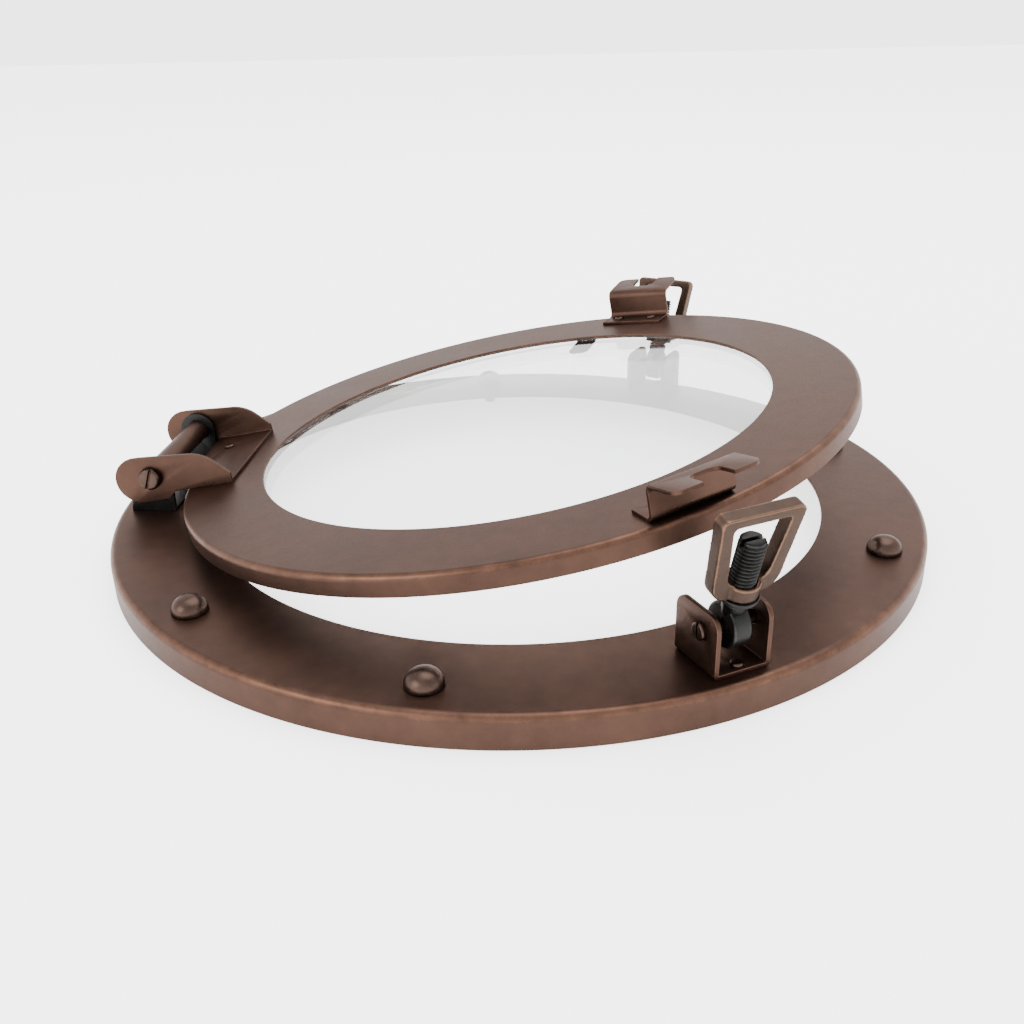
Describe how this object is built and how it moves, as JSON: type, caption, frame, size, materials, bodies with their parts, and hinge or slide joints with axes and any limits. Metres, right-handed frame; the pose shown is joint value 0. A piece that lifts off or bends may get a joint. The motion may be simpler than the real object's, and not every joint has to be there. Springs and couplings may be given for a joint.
{
  "type": "opening porthole",
  "caption": "Round opening porthole: a sheet-metal base ring with a hinged glazed cover ring, held shut by swing-bolt dogs with stirrup nuts.",
  "frame": {"origin": "centre of the base ring in the plane of its wall-side rim", "axes": "+Z out of the wall through the opening, hinge pin along Y on the -X side, front dog on the -Y side"},
  "size_m": [0.3048, 0.3048, 0.0694],
  "materials": {
    "antique_copper": "satin, browned copper plate",
    "cast_copper": "satin, browned copper on a casting",
    "bright_copper": "smooth browned copper, worn bright on its edges",
    "black_steel": "blackened and oiled",
    "zinc_steel": "zinc plated",
    "glass": "clear float glass",
    "rubber": "matt"
  },
  "bodies": {
    "base": {"base_ring": "antique_copper", "dome_bolts": "bright_copper", "dome_bolt_nuts": "zinc_steel", "hinge_bracket": "black_steel", "hinge_bracket_rivets": "black_steel", "hinge_barrel": "antique_copper", "hinge_pin": "bright_copper", "hinge_pin_nut": "zinc_steel", "front_clevis": "antique_copper", "rear_clevis": "antique_copper", "clevis_rivets": "bright_copper", "pivot_screws": "bright_copper", "pivot_nuts": "zinc_steel"},
    "cover": {"cover_ring": "antique_copper", "glass_gasket": "rubber", "glass_pane": "glass", "glass_clips": "black_steel", "hinge_strap": "antique_copper", "strap_rivets": "bright_copper", "front_lug": "antique_copper", "rear_lug": "antique_copper", "lug_rivets": "bright_copper"},
    "front_bolt": {"front_swing_bolt": "black_steel"},
    "front_washer": {"front_thrust_washer": "black_steel"},
    "front_stirrup": {"front_stirrup_nut": "cast_copper"},
    "rear_bolt": {"rear_swing_bolt": "black_steel"},
    "rear_washer": {"rear_thrust_washer": "black_steel"},
    "rear_stirrup": {"rear_stirrup_nut": "cast_copper"}
  },
  "joints": [
    {"name": "cover_hinge", "type": "hinge", "parent": "base", "child": "cover", "pos_m": [-0.1354, 0, 0.0255], "axis": [0, -1, 0], "range_deg": [-9.8, 150]},
    {"name": "front_dog_swing", "type": "hinge", "parent": "base", "child": "front_bolt", "pos_m": [0.06894, -0.12185, 0.0236], "axis": [0.8704, 0.4924, 0], "range_deg": [-15, 64]},
    {"name": "front_nut_travel", "type": "slide", "parent": "front_bolt", "child": "front_washer", "axis": [0.1274, -0.2253, 0.9659], "range_m": [-0.0009, 0.012]},
    {"name": "front_nut_spin", "type": "hinge", "parent": "front_washer", "child": "front_stirrup", "pos_m": [0.06894, -0.12185, 0.0236], "axis": [0.1274, -0.2253, 0.9659], "range_deg": [-252, 3420]},
    {"name": "rear_dog_swing", "type": "hinge", "parent": "base", "child": "rear_bolt", "pos_m": [0.05917, 0.12688, 0.0236], "axis": [-0.9063, 0.4226, 0], "range_deg": [-15, 64]},
    {"name": "rear_nut_travel", "type": "slide", "parent": "rear_bolt", "child": "rear_washer", "axis": [0.1094, 0.2346, 0.9659], "range_m": [-0.0009, 0.012]},
    {"name": "rear_nut_spin", "type": "hinge", "parent": "rear_washer", "child": "rear_stirrup", "pos_m": [0.05917, 0.12688, 0.0236], "axis": [0.1094, 0.2346, 0.9659], "range_deg": [-252, 3420]}
  ],
  "couplings": [
    {"joint": "front_nut_travel", "follows": "front_nut_spin", "m_per_rad": 0.00019894},
    {"joint": "rear_nut_travel", "follows": "rear_nut_spin", "m_per_rad": 0.00019894}
  ]
}
